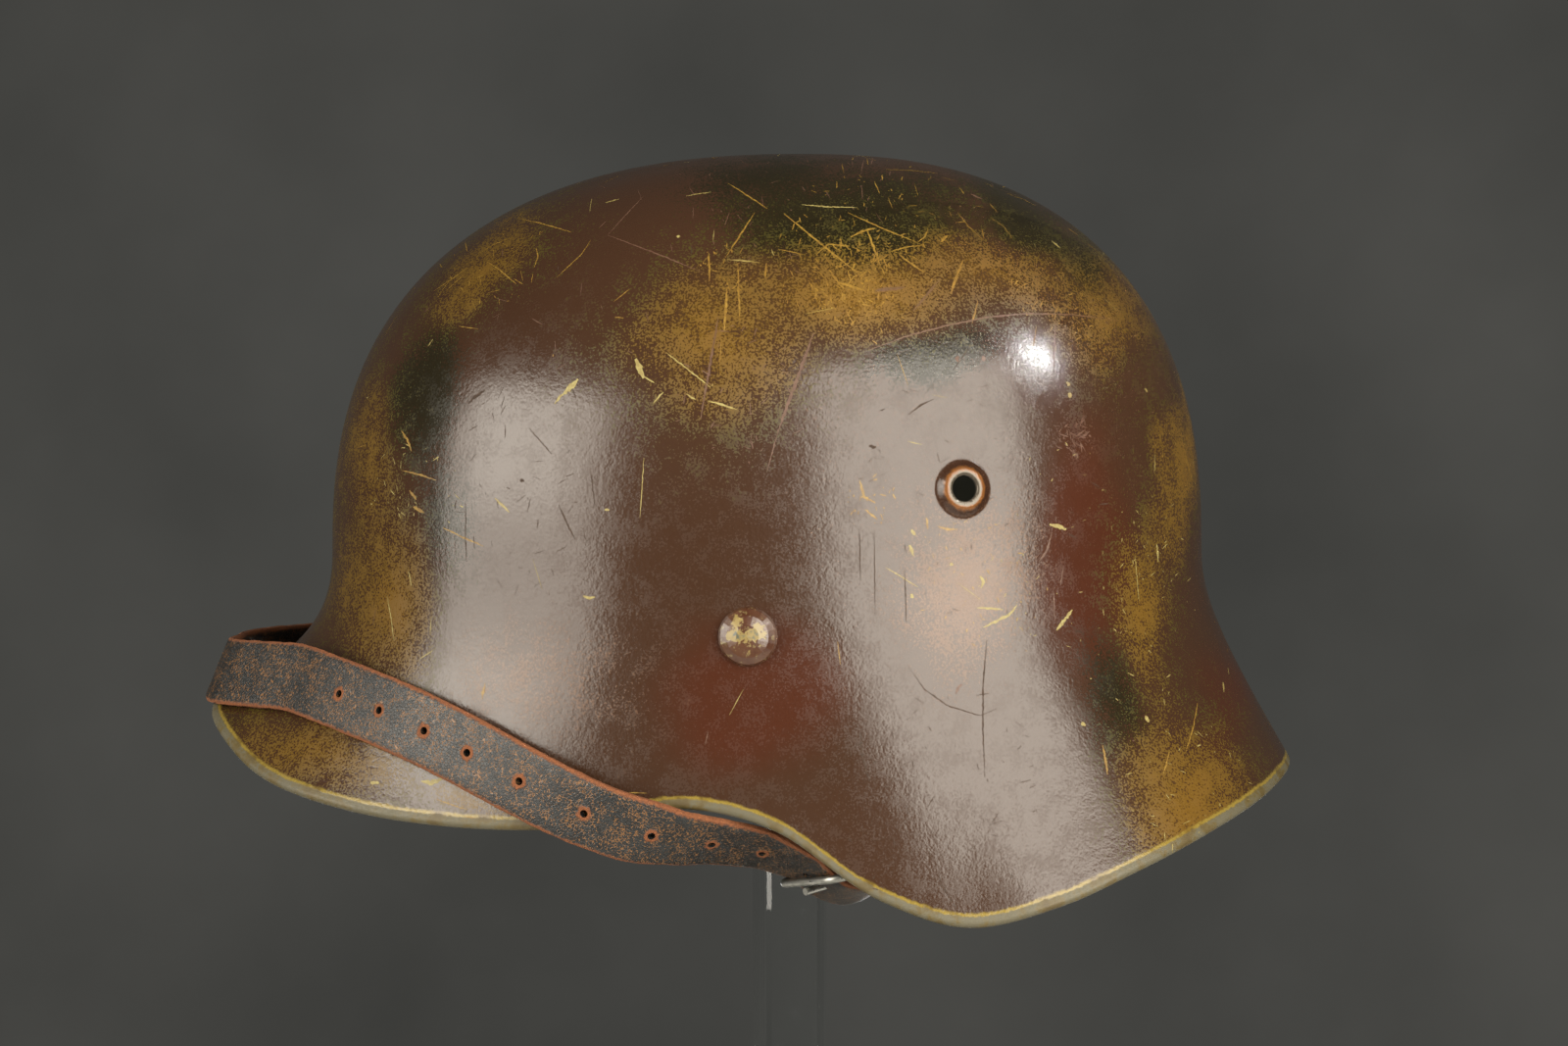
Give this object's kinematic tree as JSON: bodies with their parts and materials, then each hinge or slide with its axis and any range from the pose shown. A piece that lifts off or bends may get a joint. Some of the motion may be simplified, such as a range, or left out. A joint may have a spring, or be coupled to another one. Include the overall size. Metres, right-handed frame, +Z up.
{
  "type": "steel combat helmet on a clear display stand",
  "caption": "Steel combat helmet with flared rim and camouflage paint, its leather chin strap drawn over the visor, held on a clear post stand.",
  "frame": {"origin": "Middle of the bounding box in plan, on the underside of the stand's base plate.", "axes": "+Z is up. The visor points to -Y and the wearer's left side to +X."},
  "size_m": [0.2238, 0.2812, 0.3004],
  "materials": {
    "painted_steel": "worn gloss camouflage paint",
    "pin_steel": "chipped gloss paint",
    "band_metal": "plain dull metal",
    "strap_leather": "cracked black, brown at the edges",
    "buckle_steel": "worn dull plating",
    "clear_acrylic": "clear, polished"
  },
  "bodies": {
    "root": {"shell": "painted_steel", "split_pin_left": "pin_steel", "split_pin_right": "pin_steel", "liner_band": "band_metal", "strap_bail_left": "buckle_steel", "strap_bail_right": "buckle_steel", "chin_strap": "strap_leather", "buckle_frame": "buckle_steel", "buckle_prong": "buckle_steel", "buckle_strap": "strap_leather", "stand_base": "clear_acrylic", "stand_post": "clear_acrylic", "stand_top": "clear_acrylic"}
  },
  "joints": []
}
